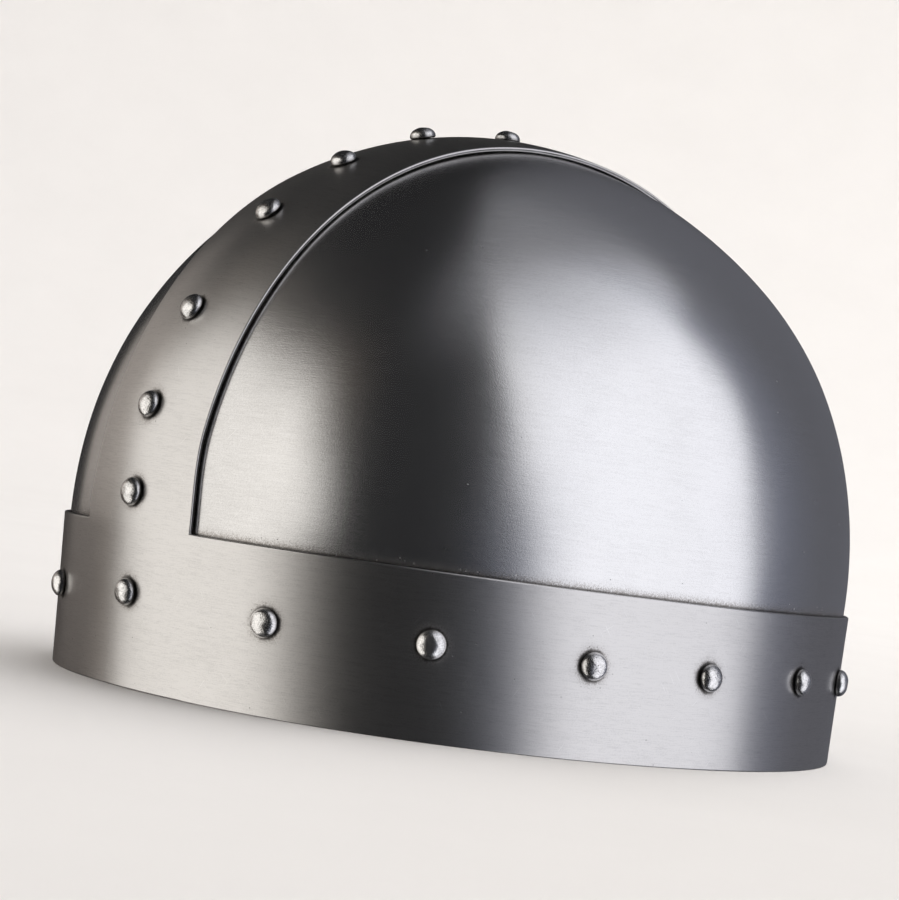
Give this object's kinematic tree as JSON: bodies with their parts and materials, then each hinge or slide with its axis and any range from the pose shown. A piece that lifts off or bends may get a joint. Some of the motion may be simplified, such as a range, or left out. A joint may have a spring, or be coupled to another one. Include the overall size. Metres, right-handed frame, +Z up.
{
  "type": "spangenhelm helmet",
  "caption": "Domed steel helmet of side plates riveted under a welded brow band and ridge band, open below for the head.",
  "frame": {"origin": "centre of the whole helmet's box at its bottom, on the plane that the rim stands on", "axes": "+Z up towards the crown, -Y towards the forehead, +X towards the wearer's left"},
  "size_m": [0.2086, 0.2332, 0.1632],
  "materials": {
    "frame_steel": "brushed bright steel with dark patina, brushed along the bands",
    "plate_steel": "brushed bright steel with dark patina, swirled brushing",
    "rivet_steel": "hand-peened bright steel"
  },
  "bodies": {
    "root": {"frame_band": "frame_steel", "side_plate_left": "plate_steel", "side_plate_right": "plate_steel", "brow_rivet_front": "rivet_steel", "brow_rivet_left_1": "rivet_steel", "brow_rivet_left_2": "rivet_steel", "brow_rivet_left_3": "rivet_steel", "brow_rivet_left_4": "rivet_steel", "brow_rivet_left_5": "rivet_steel", "brow_rivet_left_6": "rivet_steel", "brow_rivet_left_7": "rivet_steel", "brow_rivet_back": "rivet_steel", "brow_rivet_right_7": "rivet_steel", "brow_rivet_right_6": "rivet_steel", "brow_rivet_right_5": "rivet_steel", "brow_rivet_right_4": "rivet_steel", "brow_rivet_right_3": "rivet_steel", "brow_rivet_right_2": "rivet_steel", "brow_rivet_right_1": "rivet_steel", "ridge_rivet_01": "rivet_steel", "ridge_rivet_02": "rivet_steel", "ridge_rivet_03": "rivet_steel", "ridge_rivet_04": "rivet_steel", "ridge_rivet_05": "rivet_steel", "ridge_rivet_06": "rivet_steel", "ridge_rivet_07": "rivet_steel", "ridge_rivet_08": "rivet_steel", "ridge_rivet_09": "rivet_steel", "ridge_rivet_10": "rivet_steel", "ridge_rivet_11": "rivet_steel", "ridge_rivet_12": "rivet_steel", "ridge_rivet_13": "rivet_steel"}
  },
  "joints": []
}
